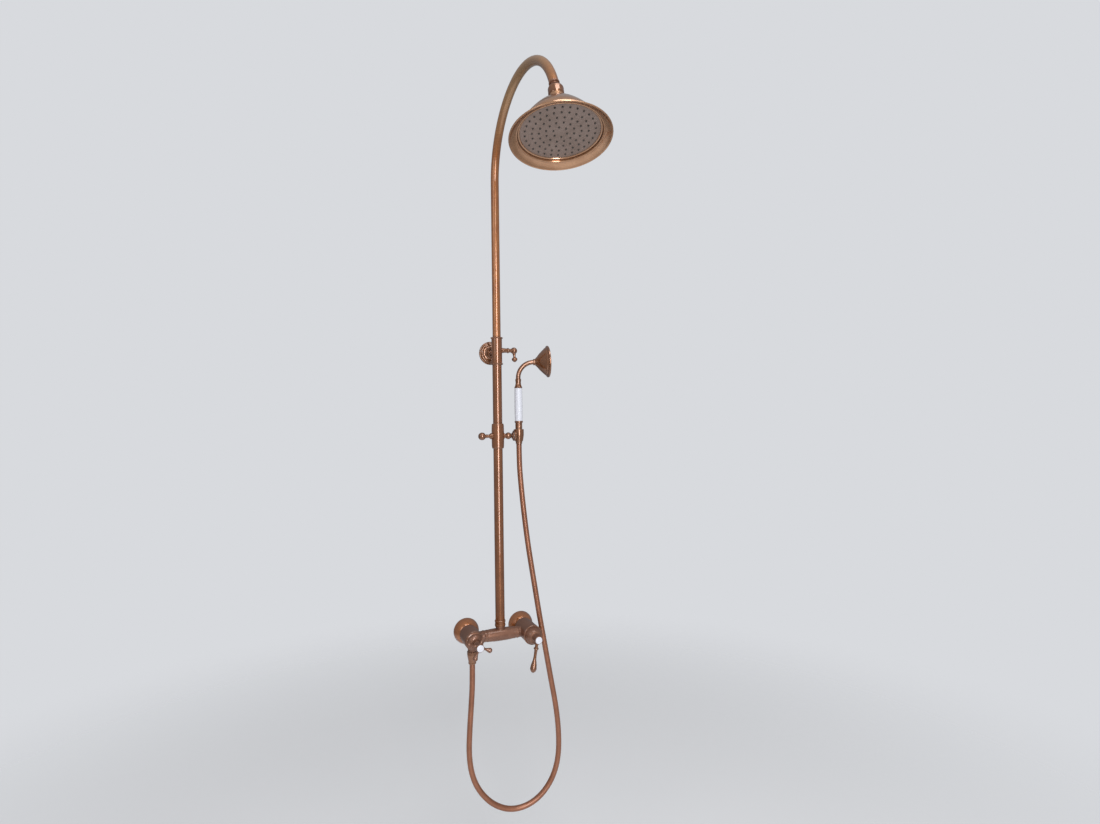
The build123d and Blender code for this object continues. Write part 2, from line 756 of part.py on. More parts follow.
def cradle_link():
    length = link_front - link_back
    ball = 0.361 * length
    reach = link_back + 0.456 * length
    shape = turned((0, liner_radius + running), (4, liner_radius + running), (4, link_back),
                   (6.8, link_back), (6.8, link_back + 1.2), (5, link_back + 2.4),
                   on_sphere(ball, 138, reach),
                   (on_sphere(ball, 90, reach), on_sphere(ball, 36, reach)),
                   ((3.8, link_front - 0.227 * length), (5.0, link_front - 0.151 * length)),
                   (link_disc - 1, link_front - 0.134 * length),
                   (link_disc, link_front - 0.1 * length), (link_disc, link_front), (0, link_front))
    return along_x(shape - tube(2, 0, link_front - 11, link_front), slider_height)


def cradle_washer():
    return along_x(tube(link_disc - 0.6, 2.2, link_front, link_front + 0.8), slider_height)


def cradle_screw():
    head_back = handset_reach - cradle_bore - 2.0
    shape = turned((0, link_front - 10), (1.9, link_front - 10), (1.9, head_back), (3.4, head_back),
                   (3.4, head_back + 1.4), (0, head_back + 1.4))
    return along_x(shape, slider_height)


def nut_cone(radius, foot_radius, foot, top):
    """The outside of a hose nut: a straight head above a long cone, standing on its foot."""
    return turned((0, foot), (foot_radius - 0.8, foot), (foot_radius - 0.8, foot + 4.5),
                  (foot_radius, foot + 5.5), (foot_radius, foot + 7), (radius, top - 15.5),
                  (radius, top - 0.8), (radius - 0.8, top), (0, top))


def cradle():
    back_face = link_front + 0.8 + 0.1
    ring_room = nut_cone(cradle_bore, hose_nut_foot_radius + running, hose_nut_foot, hose_nut_top)
    ring_room = ring_room + tube(cradle_bore, 0, hose_nut_top - 1, hose_nut_top + 1)
    grow = nut_cone(cradle_radius, hose_nut_foot_radius + running + cradle_wall, hose_nut_foot,
                    hose_nut_top)
    width = 4 * cradle_radius
    window = Pos(0, 0, (cradle_foot + cradle_top) / 2) * Box(width, width, cradle_top - cradle_foot)
    socket = about_riser(grow & window, handset_reach)
    disc = along_x(tube(cradle_disc, 0, back_face, handset_reach - cradle_bore + 1), slider_height)
    slot = Pos(handset_reach + 15, -standoff, slider_height) * Box(30, cradle_slot, 4 * nut_length)
    room = about_riser(ring_room, handset_reach)
    screw = cradle_screw_hole()
    return (socket + disc) - room - slot - screw


def cradle_screw_hole():
    head_back = handset_reach - cradle_bore - 2.0 - slip
    hole = tube(1.9 + shaft_fit, 0, link_front, head_back + 1) + tube(3.7, 0, head_back, head_back + 6)
    return along_x(hole, slider_height)


# Handset

def hose_upper_nut():
    bore = half_inch + slip
    shape = nut_cone(hose_nut_radius, hose_nut_foot_radius, hose_nut_foot, hose_nut_top)
    shape = shape - tube(bore, 0, hose_nut_top - 11, hose_nut_top)
    shape = shape - tube(hose_bore, 0, hose_nut_foot, hose_nut_top)
    return about_riser(shape, handset_reach)


def upper_hose_washer():
    low = hose_nut_top - 11
    return about_riser(tube(half_inch - 0.6, hose_bore + 1, low, low + 1.8), handset_reach)


def handset_connector():
    neck = 9.0
    foot = hose_nut_top + running
    inside = hose_nut_top - 11 + 1.8 + running
    thread = half_inch - shaft_fit
    shape = turned((0, inside), (thread, inside), (thread, hose_nut_top - 1), (neck - 1, hose_nut_top),
                   (neck - 1, foot), (neck, foot), (neck, grip_foot - 7),
                   ((9.4, grip_foot - 4.6), (10.9, grip_foot - 3.6)),
                   (10.9, grip_foot - 0.6), (10.4, grip_foot), (0, grip_foot))
    bore = tube(hose_bore, 0, inside, grip_foot)
    socket = tube(handset_tube_radius + slip, 0, grip_foot - 8, grip_foot)
    return about_riser(shape - bore - socket, handset_reach)


def handset_tube():
    low = grip_foot - 8
    high = grip_top + 7
    return about_riser(tube(handset_tube_radius, hose_bore, low, high), handset_reach)


def handset_grip():
    bore = handset_tube_radius + running
    middle = (grip_foot + grip_top) / 2
    shape = turned((bore, grip_foot), (grip_end_radius - 0.6, grip_foot),
                   (grip_end_radius, grip_foot + 0.8),
                   ((grip_mid_radius, middle), (grip_end_radius, grip_top - 0.8)),
                   (grip_end_radius - 0.6, grip_top), (bore, grip_top))
    return about_riser(shape, handset_reach)


def handset_ferrule():
    top = grip_top + ferrule_length
    shape = turned((0, grip_top), (10.3, grip_top), (10.6, grip_top + 0.8), (10.0, grip_top + 2.4),
                   ((7.8, grip_top + 8), (7.2, top - 7)), (7.6, top - 6),
                   (7.6, top - 2.4), (6.8, top), (0, top))
    lower = tube(handset_tube_radius + slip, 0, grip_top, grip_top + 8)
    middle = tube(hose_bore, 0, grip_top, top)
    upper = tube(neck_radius + slip, 0, grip_top + 10, top)
    return about_riser(shape - lower - middle - upper, handset_reach)


def towards_spray(solid):
    """Turns a piece built facing +X about the handset's axis to the way it faces at rest."""
    axis = Pos(handset_reach, -standoff, 0)
    return axis * Rot(0, 0, -handset_turn) * solid


def spray_point(out):
    """A point of the spray head's axis, measured from the handset's axis."""
    lift = math.radians(spray_lift)
    return (out * math.cos(lift), 0, neck_height + out * math.sin(lift))


def handset_neck():
    start = neck_height - neck_run
    halfway = math.radians(90 - spray_lift) / 2
    through = (neck_bend * (1 - math.cos(halfway)), 0, start + neck_bend * math.sin(halfway))
    low = (0, 0, grip_top + 10)
    bend_end = spray_point(neck_run)
    path = Wire([Line(low, (0, 0, start)), ThreePointArc((0, 0, start), through, bend_end),
                 Line(bend_end, spray_point(neck_run + 5))])
    ring = Pos(0, 0, grip_top + 10) * (Circle(neck_radius) - Circle(neck_bore))
    return towards_spray(sweep(ring, path=path))


def on_spray_axis(solid):
    """Places a solid built about +Z so that its height runs along the spray head's axis."""
    lift = math.radians(spray_lift)
    up = (-math.sin(lift), 0, math.cos(lift))
    out = (math.cos(lift), 0, math.sin(lift))
    facing = Plane(origin=(0, 0, neck_height), x_dir=up, z_dir=out).location
    return towards_spray(facing * solid)


def handset_bell():
    face = bell_face
    seat = neck_run + 5
    socket = neck_radius + slip
    shape = turned((socket, 40.8), (7.8, 40.8), (8.4, 41.8), (8.4, 43.8), (7.8, 44.6), (8.6, 45.8),
                   ((13.4, 50.6), (19.6, 55.8)), ((27.4, 63.4), (34.5, 71.2)), (35.8, 72),
                   (36.5, 74.2), ((38.3, 76.1), (40.6, 76.9)), (bell_radius, 78.2),
                   (bell_radius, face - 0.8), (bell_radius - 0.8, face), (39.2, face),
                   (39.2, face - 2.9), (36.2, face - 2.9), (35.0, 74.4), (33.4, 72.8),
                   ((26.1, 64.6), (18.3, 57.2)), (10.4, 50.8), (5.0, 49.2), (5.0, seat),
                   (socket, seat))
    return on_spray_axis(shape)


def nozzle_spots(first, step, rings):
    """Nozzle centres on concentric rings, six more in each ring than in the one inside it."""
    spots = []
    for ring in range(rings):
        count = 6 * (ring + 1)
        radius = first + step * ring
        spots += list(PolarLocations(radius, count, start_angle=90 * (ring % 2) / count))
    return spots


def spray_plate(radius, back, front, hole, spots):
    """A flat spray plate with a hole for each nozzle."""
    holes = [spot * Circle(hole) for spot in spots]
    face = Circle(radius) - Sketch(children=[h.face() for h in holes])
    return Pos(0, 0, back) * extrude(face, front - back)


def nozzle_mat(radius, back, front, tip, size, spots):
    """A rubber mat with a short nozzle through each hole of the spray plate."""
    nozzles = [Pos(0, 0, front - 0.2) * (spot * Cone(size, size * 0.8, tip - front + 0.2,
               align=(Align.CENTER, Align.CENTER, Align.MIN))) for spot in spots]
    mat = tube(radius, 0, back, front)
    return mat.fuse(*nozzles)


def handset_spots():
    return [Location()] + nozzle_spots(8.4, 8.2, 4)


def handset_face():
    return on_spray_axis(spray_plate(39.1, bell_face - 2.8, bell_face - 1.2, 1.5, handset_spots()))


def handset_nozzles():
    return on_spray_axis(nozzle_mat(35.4, bell_face - 4, bell_face - 2.9, bell_face - 0.1, 1.3, handset_spots()))


# Hose

def outlet_nipple():
    shape = turned((4, 20), (half_inch - 2.6, 20), (half_inch - 2.6, hose_boss_foot), (11, hose_boss_foot),
                   (11, 32), (half_inch - shaft_fit, 32), (half_inch - shaft_fit, 43), (4, 43))
    return about_riser(Rot(180, 0, 0) * shape, left_x)


def lower_hose_washer():
    return about_riser(Rot(180, 0, 0) * tube(half_inch - 0.6, hose_bore + 1, 43.1, 45), left_x)


def hose_lower_nut():
    foot = outlet_nut_foot_radius
    shape = turned((0, outlet_nut_top), (outlet_nut_radius - 0.6, outlet_nut_top),
                   (outlet_nut_radius, outlet_nut_top + 0.8), (outlet_nut_radius, outlet_nut_top + 8),
                   (foot, outlet_nut_foot - 4), (foot + 0.6, outlet_nut_foot - 3.4),
                   (foot + 0.6, outlet_nut_foot - 1), (foot, outlet_nut_foot), (0, outlet_nut_foot))
    thread = tube(half_inch + slip, 0, outlet_nut_top, 45)
    bore = tube(hose_bore, 0, outlet_nut_top, outlet_nut_foot)
    return about_riser(Rot(180, 0, 0) * (shape - thread - bore), left_x)


def hose_route():
    """The hose's corners, from the outlet nut round the loop and up to the handset's nut."""
    climb = hose_nut_foot / 490.5
    return [
        (left_x, -standoff, -outlet_nut_foot),
        (left_x, -62, -112), (-78, -62, -160), (-84, -63, -232), (-87, -64, -292),
        (-80, -66, -346), (-60, -68, -390), (-26, -70, -428), (18, -72, -450), (64, -74, -449),
        (104, -76, -428), (134, -78, -390), (150, -80, -340), (152, -81, -278),
        (145, -82, -205), (129, -83, -120), (115, -84, -40), (101, -83, 40 * climb),
        (88, -80, 130 * climb), (75, -75, 222 * climb), (66, -70, 310 * climb),
        (60, -66, 386 * climb), (handset_reach, -standoff, 440 * climb),
        (handset_reach, -standoff, hose_nut_foot),
    ]


def corner_radii(points):
    """Each corner's arc: 0.45 of its shorter run, over the tangent of half the turn."""
    radii = []
    for before, corner, after in zip(points, points[1:], points[2:]):
        a = Vector(*corner) - Vector(*before)
        b = Vector(*after) - Vector(*corner)
        half_turn = math.radians(a.get_angle(b)) / 2
        radii.append(0.45 * min(a.length, b.length) / math.tan(half_turn))
    return radii


def hose():
    points = hose_route()
    radii = corner_radii(points)
    path = FilletPolyline(*points, radius=radii)
    start = Plane(origin=points[0], z_dir=(0, 0, -1)).location
    ring = start * (Circle(hose_radius) - Circle(hose_bore))
    solid = sweep(ring, path=path)
    section = math.pi * (hose_radius ** 2 - hose_bore ** 2)
    print("hose radii", [round(r) for r in radii])
    print("hose length", round(path.length, 1), "volume ratio",
          round(solid.volume / (section * path.length), 4))
    return solid


# Ball joint and rose

def along_arm(solid):
    """Places a solid built about +Z so that its height runs on from the arm's end."""
    return Plane(origin=arm_end(), x_dir=(1, 0, 0), z_dir=arm_direction()).location * solid


def ball_centre():
    return arm_end() + arm_direction() * ball_reach


def rose_direction():
    tilt = math.radians(rose_tilt)
    turn = math.radians(rose_turn)
    heading = Vector(math.sin(turn), -math.cos(turn), 0)
    return heading * math.sin(tilt) + Vector(0, 0, -math.cos(tilt))


def on_rose(solid):
    """Places a solid built about +Z so that its height runs down the rose's axis from the ball."""
    return Plane(origin=ball_centre(), x_dir=(1, 0, 0), z_dir=rose_direction()).location * solid


def ball_stud():
    stem = ball_stem
    ball = ball_radius
    meet = 180 - math.degrees(math.asin(stem / ball))
    spigot = upper_tube_bore - 2 * slip
    shape = turned((0, -6), (spigot, -6), (spigot, 0), (11.4, 0),
                   (11.6, 1), (11.6, 2.6), (10.8, 3.4), (8.4, 4), (8.4, 7), (stem, 8.4),
                   on_sphere(ball, meet, ball_reach),
                   (on_sphere(ball, 90, ball_reach), on_sphere(ball, 0, ball_reach)))
    return along_arm(shape - tube(2.6, 0, -12, 40))


def head_friction_ring():
    inner = ball_radius + shaft_fit
    outer = inner + 1.1
    shape = turned(on_sphere(inner, 124, 0), on_sphere(outer, 124, 0),
                   (on_sphere(outer, 108, 0), on_sphere(outer, 92, 0)), on_sphere(inner, 92, 0),
                   (on_sphere(inner, 108, 0), on_sphere(inner, 124, 0)))
    return on_rose(shape)


def ball_seat():
    inner = ball_radius + shaft_fit
    shape = turned(on_sphere(inner, 75, 0), (11, on_sphere(inner, 75, 0)[1]), (11, 9),
                   (4.2, 9), on_sphere(inner, 25, 0),
                   (on_sphere(inner, 50, 0), on_sphere(inner, 75, 0)))
    return on_rose(shape)


def head_nut():
    cup = ball_radius + shaft_fit + 1.1 + shaft_fit
    lip = on_sphere(cup, 126, 0)
    shape = turned(lip, (10.8, lip[1] - 0.3), (14.0, lip[1] + 0.9), ((16.1, -2.5), (16.6, 2)),
                   (16.6, 11), (15.6, 12.6), (15, rose_shoulder), (cup, rose_shoulder), (cup, 0),
                   (on_sphere(cup, 108, 0), lip))
    return on_rose(shape)


def dome_point(share, inside=0.0):
    """The (radius, height) of the rose's dome at a share of its rise from foot to top."""
    foot = rose_seat - 10
    rise = foot - rose_shoulder - inside
    power = rose_dome_power
    radius = (rose_dome - inside) * (1 - share ** power) ** (1 / power)
    return (radius, foot - rise * share)


def rose_bell():
    rim = rose_radius
    low = rose_depth
    seat = rose_seat
    inside = rose_wall * 1.4
    shape = turned((7, 9.2), (rose_neck, 9.2), (rose_neck, rose_shoulder),
                   (14.8, rose_shoulder), dome_point(0.88),
                   (dome_point(0.72), dome_point(0.55)), (dome_point(0.38), dome_point(0.22)),
                   (dome_point(0.1), dome_point(0.0)), (82.5, seat - 8), (87.6, seat - 5),
                   (89.3, seat - 3), (89.8, low - 12.5), ((95.5, low - 8.6), (rim - 2, low - 2.2)),
                   ((rim, low - 0.6), (rim - 1.4, low + 0.8)), (rim - 3, low),
                   ((96.5, low - 5.4), (90.9, low - 8.0)), ((88.9, low - 7.7), (87.5, low - 9.2)),
                   (87.2, low - 10.4), (87.2, seat - 1.4), (85.1, seat - 1.4), (85.1, seat - 3.4),
                   (80, seat - 7.5), dome_point(0.02, inside),
                   (dome_point(0.1, inside), dome_point(0.22, inside)),
                   (dome_point(0.38, inside), dome_point(0.55, inside)),
                   (dome_point(0.72, inside), dome_point(0.88, inside)), (7, rose_shoulder + 4))
    return on_rose(shape)


def rose_spots():
    return nozzle_spots(nozzle_first_ring, nozzle_ring_step, nozzle_rings)


def rose_face():
    front = rose_seat - 0.4
    return on_rose(spray_plate(rose_face_radius, front - 1.6, front, nozzle_radius + 0.2, rose_spots()))


def rose_nozzles():
    front = rose_seat - 2.1
    tip = rose_seat - 0.4 + nozzle_proud
    return on_rose(nozzle_mat(79, front - 1.2, front, tip, nozzle_radius, rose_spots()))


def rose_ring():
    front = rose_seat
    ring = turned((82.6, front), (87.1, front), (87.1, front + 0.8), (86.2, front + 1.6),
                  (83.4, front + 1.2))
    return on_rose(ring)


def pieces():
    ring_back = handle_front
    lever_back = hub_front - 3.6
    return {
        "escutcheons": both_sides(escutcheon),
        "inlet_unions": both_sides(inlet_union),
        "inlet_seals": both_sides(inlet_seal),
        "union_nuts": both_sides(union_nut),
        "valve_body": valve_body(),
        "diverter_cartridge": diverter_cartridge(),
        "diverter_bonnet": diverter_bonnet(),
        "diverter_spindle": diverter_spindle(),
        "cross_handle": cross_handle(),
        "handle_screw": handle_screw(),
        "handle_button_ring": button_ring(left_x, ring_back),
        "handle_button": button(left_x, ring_back),
        "mixing_cartridge": mixing_cartridge(),
        "cartridge_nut": cartridge_nut(),
        "dome_cap": dome_cap(),
        "mixing_spindle": mixing_spindle(),
        "spindle_pin": spindle_pin(),
        "lever_stem": lever_stem(),
        "lever_hub": lever_hub(),
        "lever_arm": lever_arm(),
        "lever_button_ring": button_ring(right_x, lever_back),
        "lever_button": button(right_x, lever_back),
        "riser_nut": riser_nut(),
        "lower_riser": lower_riser(),
        "telescope_bush": telescope_bush(),
        "upper_riser": upper_riser(),
        "bracket_sleeve": bracket_sleeve(),
        "bracket_arm": bracket_arm(),
        "bracket_rosette": bracket_rosette(),
        "bracket_plate": bracket_plate(),
        "lock_lever": lock_lever(),
        "slider_liner": slider_liner(),
        "slider_sleeve": slider_sleeve(),
        "slider_knob": slider_knob(),
        "cradle_link": cradle_link(),
        "cradle_washer": cradle_washer(),
        "cradle_screw": cradle_screw(),
        "cradle": cradle(),
        "hose_upper_nut": hose_upper_nut(),
        "upper_hose_washer": upper_hose_washer(),
        "handset_connector": handset_connector(),
        "handset_tube": handset_tube(),
        "handset_grip": handset_grip(),
        "handset_ferrule": handset_ferrule(),
        "handset_neck": handset_neck(),
        "handset_bell": handset_bell(),
        "handset_face": handset_face(),
        "handset_nozzles": handset_nozzles(),
        "outlet_nipple": outlet_nipple(),
        "lower_hose_washer": lower_hose_washer(),
        "hose_lower_nut": hose_lower_nut(),
        "hose": hose(),
        "ball_stud": ball_stud(),
        "head_friction_ring": head_friction_ring(),
        "ball_seat": ball_seat(),
        "head_nut": head_nut(),
        "rose_bell": rose_bell(),
        "rose_face": rose_face(),
        "rose_nozzles": rose_nozzles(),
        "rose_ring": rose_ring(),
    }


def main():
    os.makedirs("parts", exist_ok=True)
    for name, solid in pieces().items():
        export_step(solid, f"parts/{name}.step")


main()
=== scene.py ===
import json
import math

import bpy
from mathutils import Matrix, Vector


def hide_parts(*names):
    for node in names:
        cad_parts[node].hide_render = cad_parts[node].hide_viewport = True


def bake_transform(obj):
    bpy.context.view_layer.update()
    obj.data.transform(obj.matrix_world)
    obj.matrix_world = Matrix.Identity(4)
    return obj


# A shower column in aged brushed copper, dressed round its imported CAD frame.
# Lengths are in metres, in the frame of the part: the wall is y = 0 and the room is towards -y.

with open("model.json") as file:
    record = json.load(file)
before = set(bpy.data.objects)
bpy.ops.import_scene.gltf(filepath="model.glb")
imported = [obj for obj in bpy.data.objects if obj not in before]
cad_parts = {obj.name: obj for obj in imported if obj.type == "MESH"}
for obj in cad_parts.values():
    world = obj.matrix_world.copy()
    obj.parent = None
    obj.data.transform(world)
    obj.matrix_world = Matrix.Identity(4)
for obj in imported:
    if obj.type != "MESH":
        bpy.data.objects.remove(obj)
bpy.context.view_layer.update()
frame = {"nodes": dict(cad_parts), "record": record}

MM = 0.001

# The camera as it stood for the photograph
CAMERA_PLACE = (-0.4728, -1.6379, 0.5515)
CAMERA_YAW = 21.45       # degrees to the right of square to the wall
CAMERA_PITCH = 0.734     # degrees above level
CAMERA_ROLL = -0.765     # degrees
CAMERA_LENS = 20.656     # mm
CAMERA_SENSOR = 36       # mm wide

# The hose: a fine winding whose turns leave a shallow groove
HOSE_RADIUS = 7.0 * MM
HOSE_RIB_PITCH = 2.4 * MM
HOSE_RIB_DEPTH = 0.16 * MM
HOSE_RINGS_PER_RIB = 6
HOSE_SIDES = 26
HOSE_ROUTE_MM = (
    (-75, -62, -64.5), (-75, -62, -112), (-78, -62, -160), (-84, -63, -232), (-87, -64, -292),
    (-80, -66, -346), (-60, -68, -390), (-26, -70, -428), (18, -72, -450), (64, -74, -449),
    (104, -76, -428), (134, -78, -390), (150, -80, -340), (152, -81, -278), (145, -82, -205),
    (129, -83, -120), (115, -84, -40), (101, -83, 40), (88, -80, 130), (75, -75, 222),
    (66, -70, 310), (60, -66, 386), (57.6, -62, 440), (57.6, -62, 490.5),
)
# Where one stretch of the hose ends and the next begins, as heights on its right leg
HOSE_CUTS = (-80 * MM, 315 * MM, 404 * MM)

# Floor and background: the floor is solid out to one radius and gone at the other, and it
# glows faintly, so that it stays about as pale as the background
FLOOR_HEIGHT = -0.72
FLOOR_SOLID = 0.9
FLOOR_RADIUS = 2.6
FLOOR_PAINT = "#F0F2F5"
FLOOR_GLOW = 0.07
BACKGROUND = "#D8DADE"

# Light: the room's strength level with the object, and how much it gains straight up and
# straight towards the front
ROOM_COLOUR = "#F4F4F6"
ROOM_LIGHT = 0.36
ROOM_GAIN_UP = 0.14
ROOM_GAIN_FRONT = 0.1
# Each lamp's name, its place, the point it faces, its width and height, and its power in watts
LAMPS = (
    ("window_softbox", (-0.3, -3.3, 0.85), (0, 0, 0.6), (0.75, 2.6), 56.0),
    ("side_softbox", (-2.6, -1.6, 1.8), (0, 0, 0.5), (1.2, 1.6), 8.0),
    ("ceiling_softbox", (0.1, -1.5, 2.9), (0, 0, 0.4), (1.6, 1.0), 20.0),
)

# Patina drifts over about 30 mm
PATINA_SCALE = 1 / (30 * MM)
# Brush marks, 0.3 mm apart on the real one, drawn 1.2 mm apart so that they show, 24 mm long
BRUSH = 1 / (1.2 * MM)
ALONG = 1 / (24 * MM)
ROUND_Z = (ALONG, ALONG, BRUSH)
# Castings and fittings are buffed in no one direction, in marks three times as coarse
ANY_WAY = (BRUSH / 3, BRUSH / 3, BRUSH / 3)
BRUSH_RELIEF = 0.05 * MM
# Edges are drawn lighter this far in, partly wear and partly a painted highlight, and painted
# shade darkens corners this far out
WORN_AND_LIT_WIDTH = 0.9 * MM
PAINTED_SHADE_REACH = 5 * MM
# The lacquer over the copper, and the brown that patina lends its glancing reflections
LACQUER_ROUGHNESS = 0.13
LACQUER_IOR = 1.75
GLANCING_TINT = "#B08A70"
# The bent tube turns tan between these heights
TAN_FROM = 1.24
TAN_TO = 1.38

# Shading is smooth across edges flatter than this, in degrees
SMOOTH_UP_TO = 32


def linear(hex_colour):
    """An sRGB hex colour as linear RGBA."""
    channels = [int(hex_colour[i:i + 2], 16) / 255 for i in (1, 3, 5)]
    turned = [c / 12.92 if c <= 0.04045 else ((c + 0.055) / 1.055) ** 2.4 for c in channels]
    return (*turned, 1.0)


def add(tree, kind, links=None, **settings):
    """Adds a node. Links are its inputs by name: a number, a colour or another node's output."""
    made = tree.nodes.new(kind)
    for name, value in settings.items():
        setattr(made, name, value)
    for name, value in (links or {}).items():
        socket = made.inputs[name] if isinstance(name, int) else next(
            s for s in made.inputs if s.name == name and s.enabled)
        if isinstance(value, bpy.types.NodeSocket):
            tree.links.new(value, socket)
        else:
            socket.default_value = value
    return made


def out(node):
    """The output that a node gives in its present setting."""
    return next(s for s in node.outputs if s.enabled)


def blank_material(name):
    """A new material with its Principled shader and its node tree."""
    material = bpy.data.materials.new(name)
    material.use_nodes = True
    tree = material.node_tree
    return material, tree, tree.nodes["Principled BSDF"]


# Finishes

def worn_and_lit_edges(tree, width):
    """How much of an edge or rim a spot is: 0 on the flat, 1 on a sharp edge."""
    rounded = add(tree, "ShaderNodeBevel", {"Radius": width}, samples=4)
    shape = add(tree, "ShaderNodeNewGeometry")
    same = add(tree, "ShaderNodeVectorMath", {0: out(rounded), 1: shape.outputs["Normal"]},
               operation="DOT_PRODUCT")
    return out(add(tree, "ShaderNodeMapRange", {"Value": out(same), "From Min": 0.995,
                                                "From Max": 0.9, "To Min": 0.0, "To Max": 1.0}))


def blend_colour(tree, share, low, high):
    """A colour between two others, each a hex value or another node's output."""
    low, high = (linear(c) if isinstance(c, str) else c for c in (low, high))
    return out(add(tree, "ShaderNodeMix", {"Factor": share, "A": low, "B": high},
                   data_type="RGBA"))


def copper(name, dark, light, bright, roughness, brush, metal, coat=1.0, high_tint=None):
    """Copper plate, aged brown, brushed and lacquered. The brushing gives it soft streaked
    highlights, the patina drifts slowly from dark to light, painted shade darkens the corners,
    and the edges are lighter copper, partly worn back and partly a painted highlight. The patina
    hides part of the metal, so its share of bare metal is below 1. A high tint takes over near the
    top of the column."""
    material, tree, shader = blank_material(name)
    place = add(tree, "ShaderNodeTexCoord").outputs["Object"]
    cloud = add(tree, "ShaderNodeTexNoise", {"Vector": place, "Scale": PATINA_SCALE,
                                             "Detail": 3.0, "Roughness": 0.6})
    stretched = add(tree, "ShaderNodeMapping", {"Vector": place, "Scale": brush})
    lines = add(tree, "ShaderNodeTexNoise", {"Vector": out(stretched), "Scale": 1.0,
                                             "Detail": 3.0, "Roughness": 0.7})
    mixed = add(tree, "ShaderNodeMix", {"Factor": 0.35, "A": cloud.outputs["Fac"],
                                        "B": lines.outputs["Fac"]})
    drift = add(tree, "ShaderNodeMapRange", {"Value": out(mixed), "From Min": 0.36,
                                             "From Max": 0.64})
    aged = blend_colour(tree, out(drift), dark, light)
    if high_tint:
        height = add(tree, "ShaderNodeSeparateXYZ", {"Vector": place})
        rise = add(tree, "ShaderNodeMapRange", {"Value": height.outputs["Z"],
                                                "From Min": TAN_FROM, "From Max": TAN_TO})
        aged = blend_colour(tree, out(rise), aged, high_tint)
    # Painted shade: the colour darkens where ambient occlusion finds corners and recesses
    occlusion = add(tree, "ShaderNodeAmbientOcclusion", {"Distance": PAINTED_SHADE_REACH}, samples=4)
    unshaded_share = add(tree, "ShaderNodeMapRange", {"Value": occlusion.outputs["AO"], "From Min": 0.35,
                                                  "From Max": 0.85, "To Min": 0.45})
    painted_corner_shade = add(tree, "ShaderNodeMix", {"Factor": 1.0, "A": aged, "B": out(unshaded_share)},
                       data_type="RGBA", blend_type="MULTIPLY")
    # Edges drawn lighter copper: partly wear, partly a painted highlight where edges catch the
    # light
    edges = worn_and_lit_edges(tree, WORN_AND_LIT_WIDTH)
    wear_and_glint = add(tree, "ShaderNodeMath", {0: edges, 1: cloud.outputs["Fac"]},
                 operation="MULTIPLY")
    colour = blend_colour(tree, out(wear_and_glint), out(painted_corner_shade), bright)
    tree.links.new(colour, shader.inputs["Base Color"])
    gloss = add(tree, "ShaderNodeMapRange", {"Value": lines.outputs["Fac"], "From Min": 0.3,
                                             "From Max": 0.7, "To Min": roughness - 0.02,
                                             "To Max": roughness + 0.03})
    tree.links.new(out(gloss), shader.inputs["Roughness"])
    relief = add(tree, "ShaderNodeBump", {"Height": lines.outputs["Fac"], "Strength": 0.04,
                                          "Distance": BRUSH_RELIEF})
    tree.links.new(out(relief), shader.inputs["Normal"])
    shader.inputs["Metallic"].default_value = metal
    shader.inputs["Specular Tint"].default_value = linear(GLANCING_TINT)
    shader.inputs["Coat Weight"].default_value = coat
    shader.inputs["Coat Roughness"].default_value = LACQUER_ROUGHNESS
    shader.inputs["Coat IOR"].default_value = LACQUER_IOR
    return material


def grained(name, low, high, roughness, metallic=0.0, grain=1.2 * MM, relief=0.04 * MM):
    """A plain moulded, glazed or machined surface: two close colours in a fine grain."""
    material, tree, shader = blank_material(name)
    place = add(tree, "ShaderNodeTexCoord").outputs["Object"]
    noise = add(tree, "ShaderNodeTexNoise", {"Vector": place, "Scale": 1 / grain, "Detail": 3.0})
    tree.links.new(blend_colour(tree, noise.outputs["Fac"], low, high),
                   shader.inputs["Base Color"])
    bump = add(tree, "ShaderNodeBump", {"Height": noise.outputs["Fac"], "Strength": 0.3,
                                        "Distance": relief})
    tree.links.new(out(bump), shader.inputs["Normal"])
    shader.inputs["Roughness"].default_value = roughness
    shader.inputs["Metallic"].default_value = metallic
    return material


# Copper tube, drawn and brushed round: brown with a narrow peach stripe of light
tube_copper = copper("brushed_copper_tube", "#804C28", "#925A34", "#C79672", 0.28, ROUND_Z, 0.55)
# The same tube where it bends, drawn lighter and more orange as painted light for the light
# falling on the bend, and tan at the crown
lit_arm_copper = copper("brushed_copper_bend_lit", "#985A2E", "#AE703F", "#D3A27C", 0.28, ROUND_Z, 0.5,
                    coat=0.8, high_tint="#B8946C")
# Turned copper-plated fittings: a little darker, and crisper in the light
fitting_copper = copper("brushed_copper_fitting", "#7E4F2F", "#94603B", "#CB9A76", 0.26, ANY_WAY,
                        0.7)
# Copper-plated castings: pinkish brown, half matt, with a wide weak highlight
body_copper = copper("brushed_copper_casting", "#7A5544", "#8E6653", "#B98C70", 0.4, ANY_WAY, 0.5,
                     coat=0.4)
# Pressed copper plate, polished: warm orange brown
plate_copper = copper("polished_copper_plate", "#9E5E2E", "#B57040", "#DDA67C", 0.28, ANY_WAY, 0.7)
# Copper spun to a bell, the palest and the most polished
rose_copper = copper("spun_copper_bell", "#B9865E", "#CC9A72", "#E2B490", 0.2, ANY_WAY, 0.75,
                     coat=1.0)
# Brushed plate round the nozzles: greyish, dull
spray_copper = copper("brushed_copper_spray_plate", "#97847A", "#A6938A", "#B09A8C", 0.42, ANY_WAY,
                      0.5, coat=0.2)
# Copper strip wound to a hose: reddish, half matt
hose_copper = copper("copper_wound_hose", "#8F5D45", "#A26C52", "#C49077", 0.36, ANY_WAY, 0.6,
                     coat=0.4)
# Porcelain, glazed: a hard clear glaze over a white body
white_porcelain = grained("glazed_porcelain", "#DFE1EA", "#E4E6F0", 0.3, grain=30 * MM)
